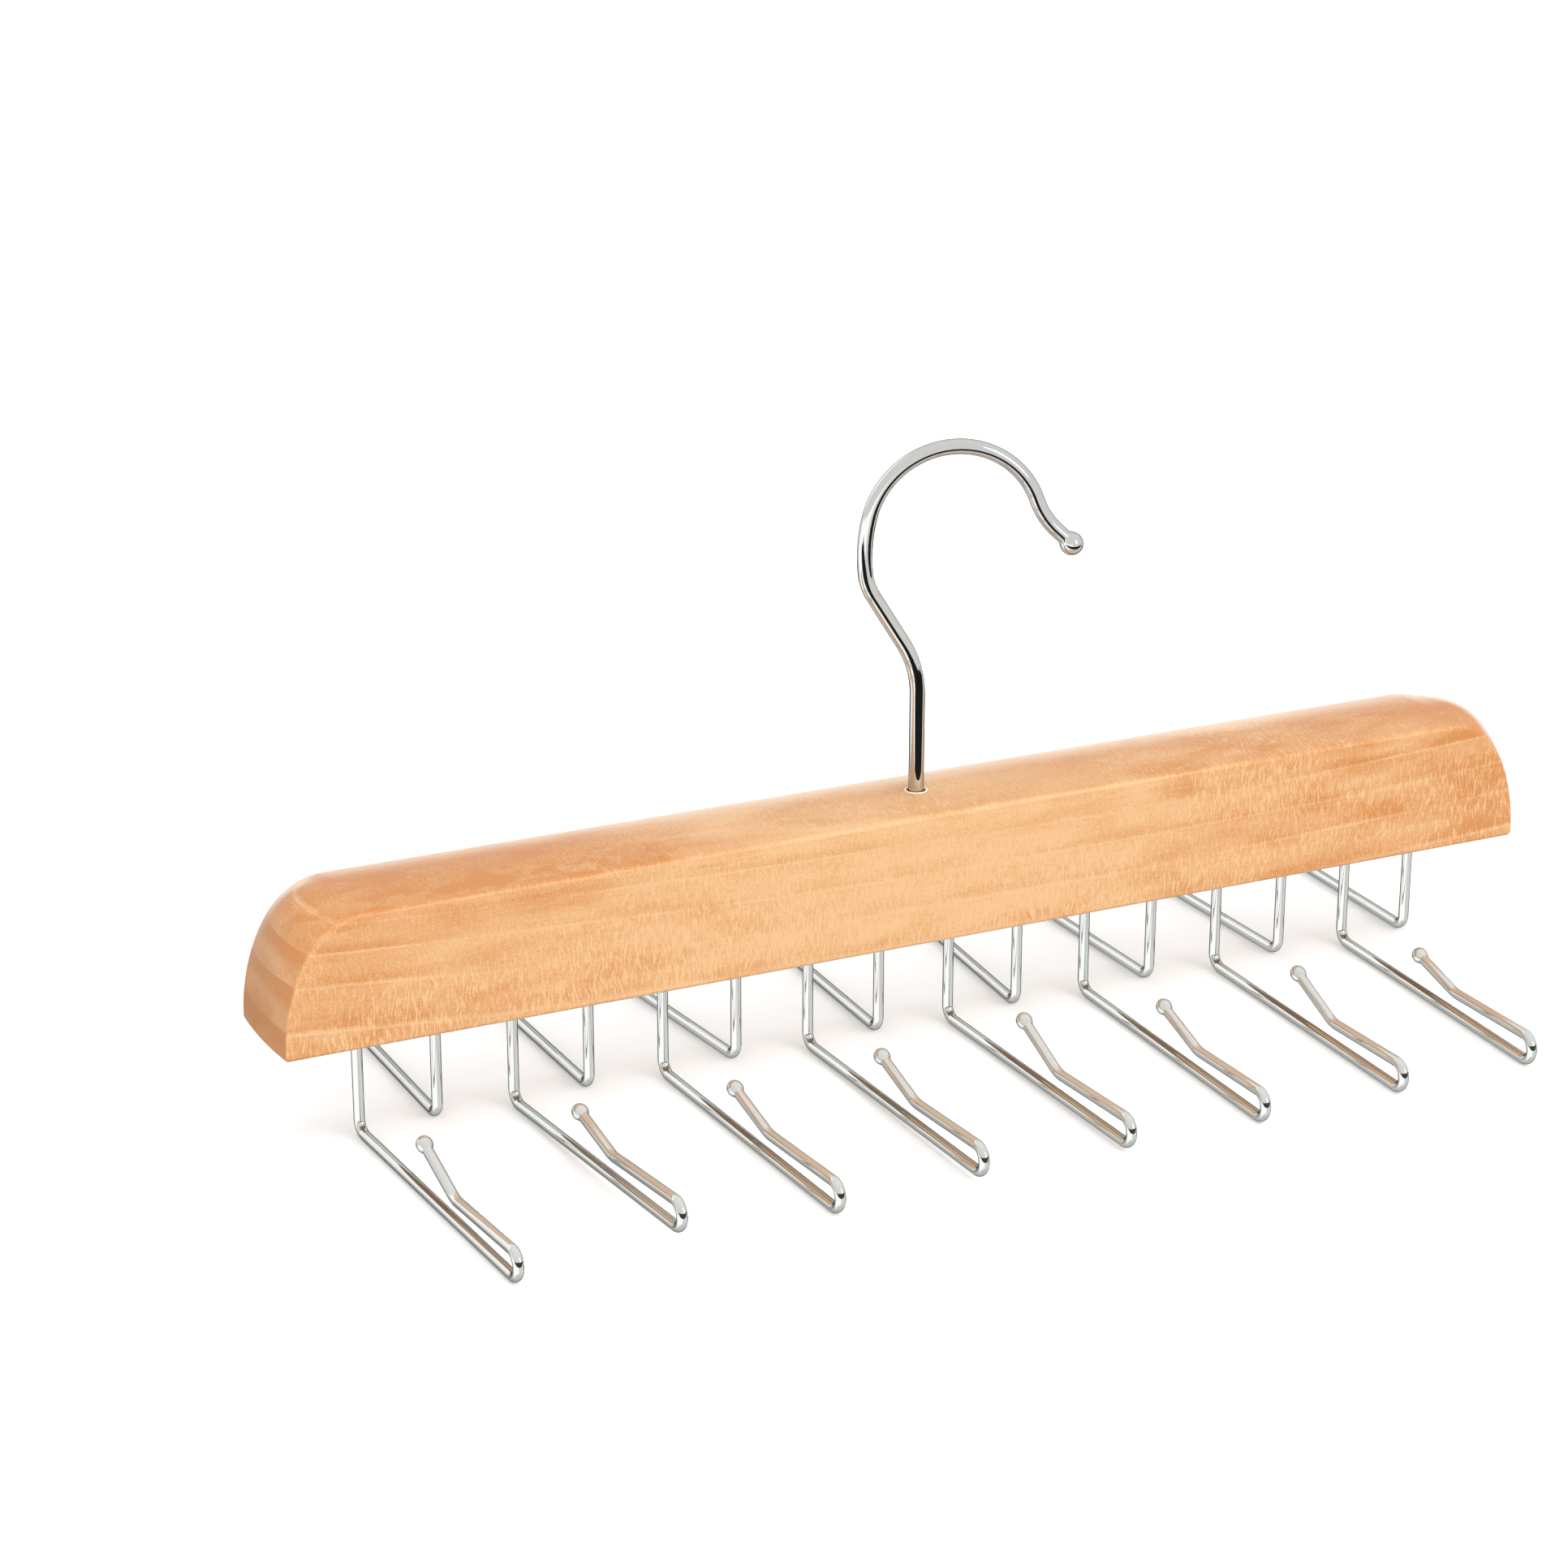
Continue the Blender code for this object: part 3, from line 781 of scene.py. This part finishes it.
def chrome_material(name, haze_level, film, brightness):
    """Bright chrome plate. A thin film of dust lies on it, most on what faces up off the floor."""
    chrome = Shading(name)
    haze = chrome.noise((7, 7, 7), 3.0)
    dust = chrome.noise((0.8, 0.8, 0.8), 2.0)
    above_floor = chrome.fade(chrome.split(chrome.place)[2], *FILM_HEIGHT)
    settled = chrome.times(chrome.fade(chrome.normal()[2], *FILM_SLOPE), above_floor)
    film = chrome.total(film, chrome.times(settled, 5 * film), chrome.times(haze, 0.4 * film))
    shades = [[share * brightness * tint for tint in CHROME_TINT] for share in CHROME_VARIATION]
    chrome.set(
        Base_Color=chrome.colour(chrome.total(0.5, haze), *shades),
        Metallic=chrome.total(1.0, chrome.times(film, -1.0)), Specular_Tint=CHROME_EDGE,
        Roughness=chrome.total(haze_level, chrome.times(haze, 0.05), chrome.times(dust, 0.03)))
    chrome.bump(chrome.noise((6, 6, 6), 1.0), CHROME_RELIEF)
    return chrome.material


def fastener_material():
    """Dull zinc plate: a cloudy grey with fine scuffs."""
    zinc = Shading("zinc_plate")
    clouds = zinc.noise((1.4, 1.4, 1.4), 3.0)
    scuffs = zinc.noise((0.25, 0.25, 1.5), 2.0)
    tone = zinc.total(0.5, zinc.times(clouds, 1.2), zinc.times(scuffs, 0.6))
    zinc.set(
        Base_Color=zinc.colour(tone, ZINC_DARK, ZINC_LIGHT),
        Metallic=1.0,
        Roughness=zinc.total(0.34, zinc.times(clouds, 0.2), zinc.times(scuffs, 0.15)))
    zinc.bump(zinc.total(clouds, scuffs), ZINC_RELIEF)
    return zinc.material


def stage_plane(name, width, depth, tone):
    """A flat matt piece of the studio."""
    shape = bmesh.new()
    bmesh.ops.create_grid(shape, x_segments=1, y_segments=1, size=0.5)
    bmesh.ops.scale(shape, verts=shape.verts, vec=Vector((width, depth, 1.0)))
    piece = mesh_object(name, shape)
    material = bpy.data.materials.new(name)
    material.use_nodes = True
    shader = material.node_tree.nodes["Principled BSDF"]
    shader.inputs["Base Color"].default_value = (tone, tone, tone, 1.0)
    shader.inputs["Roughness"].default_value = MATT_ROUGHNESS
    shader.inputs["Specular IOR Level"].default_value = 0.0
    piece.data.materials.append(material)
    return piece


def dark_card(name, depth, place, upright):
    """A dark card that only reflections see, lying flat or standing."""
    card = stage_plane(name, CARD_WIDTH, depth, CARD_TONE)
    card.location = place
    if upright:
        card.rotation_euler.x = math.radians(90)
    card.visible_camera = False
    card.visible_diffuse = False
    card.visible_shadow = False


def build_world():
    """Soft light all round. Its lower half takes the floor's place in reflections and bounced light."""
    world = bpy.data.worlds.new("studio")
    world.use_nodes = True
    sky = Nodes(world.node_tree)
    way = sky.node("ShaderNodeTexCoord").outputs["Generated"]
    x, y, z = sky.node("ShaderNodeSeparateXYZ", {0: way}).outputs
    level = sky.math("MULTIPLY_ADD", z, sky.times(z, -1.0), 1.0)
    level = sky.math("SQRT", sky.math("MAXIMUM", level, 0.0001))

    def toward(direction):
        parts = [sky.times(part, share) for part, share in zip((x, y, z), direction)]
        return sky.total(*parts)

    # The wall below the horizon is a little dimmer behind the hanger, with a white board on the left
    front = sky.math("DIVIDE", sky.times(y, -1.0), level)
    side = sky.math("DIVIDE", toward(BOARD_DIRECTION), level)
    wall = sky.fade(front, *WALL_LOW_EDGE, WALL_LOW, SKY)
    lower = sky.blend(sky.fade(side, *BOARD_EDGE), wall, WHITE_BOARD)

    # A dark line runs low along the wall behind the hanger
    depth = sky.math("ABSOLUTE", sky.total(z, WALL_LINE_DEPTH))
    behind = sky.math("DIVIDE", toward(WALL_LINE_DIRECTION), level)
    line = sky.times(sky.fade(behind, *WALL_LINE_SIDES), sky.fade(depth, *WALL_LINE_EDGE))
    lower = sky.blend(line, lower, WALL_LINE)

    # The ground is bright in reflections and dim for the light that it throws up
    shine = sky.node("ShaderNodeLightPath").outputs["Is Glossy Ray"]
    ground = sky.blend(shine, GROUND, GROUND_SHINE)
    lower = sky.blend(sky.fade(z, *GROUND_EDGE), lower, ground)

    upper = sky.blend(sky.fade(toward(BACK_BOARD_DIRECTION), *BACK_BOARD_EDGE), SKY, BACK_BOARD)
    background = world.node_tree.nodes["Background"]
    background.inputs["Color"].default_value = (1.0, 1.0, 1.0, 1.0)
    sky.feed(background.inputs["Strength"], sky.blend(sky.fade(z, *HORIZON), lower, upper))
    bpy.context.scene.world = world


def build_light(kind, name, place, power):
    light = bpy.data.lights.new(name, kind)
    light.energy = power
    lamp = link(bpy.data.objects.new(name, light))
    lamp.location = place
    lamp.rotation_euler = (-place).to_track_quat("-Z", "Y").to_euler()
    return lamp


def build_stage():
    """A plain pale floor, soft light from the front right, and dark cards for the chrome."""
    floor = stage_plane("floor", FLOOR_SIZE, FLOOR_SIZE, FLOOR_TONE)
    floor.location.z = -FLOOR_DROP

    # Reflections and bounced light see the ground of the surroundings instead of the floor
    floor.visible_glossy = False
    floor.visible_diffuse = False
    card_y = -(DARK_CARD_FAR + DARK_CARD_NEAR) / 2
    dark_card("dark_card", DARK_CARD_FAR - DARK_CARD_NEAR, (0.0, card_y, DARK_CARD_HEIGHT), False)
    wall_place = (0.0, -DARK_CARD_FAR, DARK_WALL_HEIGHT / 2)
    dark_card("dark_wall", DARK_WALL_HEIGHT, wall_place, True)
    strip_place = (0.0, -DARK_STRIP_PLACE, DARK_STRIP_HEIGHT / 2)
    dark_card("dark_strip", DARK_STRIP_HEIGHT, strip_place, True)

    build_world()
    softbox = build_light("AREA", "front_softbox", SOFTBOX_PLACE, SOFTBOX_POWER)
    softbox.data.shape = "RECTANGLE"
    softbox.data.size, softbox.data.size_y = SOFTBOX_SIZE
    ceiling = build_light("SUN", "ceiling_light", CEILING_PLACE, CEILING_POWER)
    fill = build_light("SUN", "fill_light", FILL_PLACE, FILL_POWER)
    for lamp in (ceiling, fill):
        lamp.data.angle = SUN_ANGLE
        lamp.visible_glossy = False


def build_camera():
    """The camera that took the photograph, as fitted to it."""
    data = bpy.data.cameras.new("photo_camera")
    data.sensor_width = CAMERA_SENSOR
    data.lens = CAMERA_LENS
    data.shift_x, data.shift_y = CAMERA_SHIFT
    camera = link(bpy.data.objects.new("photo_camera", data))
    level = Euler((math.radians(90) - CAMERA_PITCH, 0.0, -CAMERA_YAW), "XYZ").to_matrix()
    rolled = level @ Matrix.Rotation(CAMERA_ROLL, 3, "Z")
    camera.matrix_world = Matrix.Translation(CAMERA_PLACE) @ rolled.to_4x4()
    data.clip_start, data.clip_end = CAMERA_CLIP
    bpy.context.scene.camera = camera


wood = wood_material()
chrome = chrome_material("bright_chrome", haze_level=0.05, film=0.01, brightness=0.61)
thin_wire = chrome_material("thin_wire_chrome", haze_level=0.045, film=0.045, brightness=0.63)
build_bar(wood)
build_bore_rim(bead_material_with_painted_highlight())
build_strap_hooks(thin_wire)
build_swivel_hook(chrome)
build_fastening(fastener_material(), chrome)
build_stage()
build_camera()
bpy.context.scene.view_settings.view_transform = "Standard"
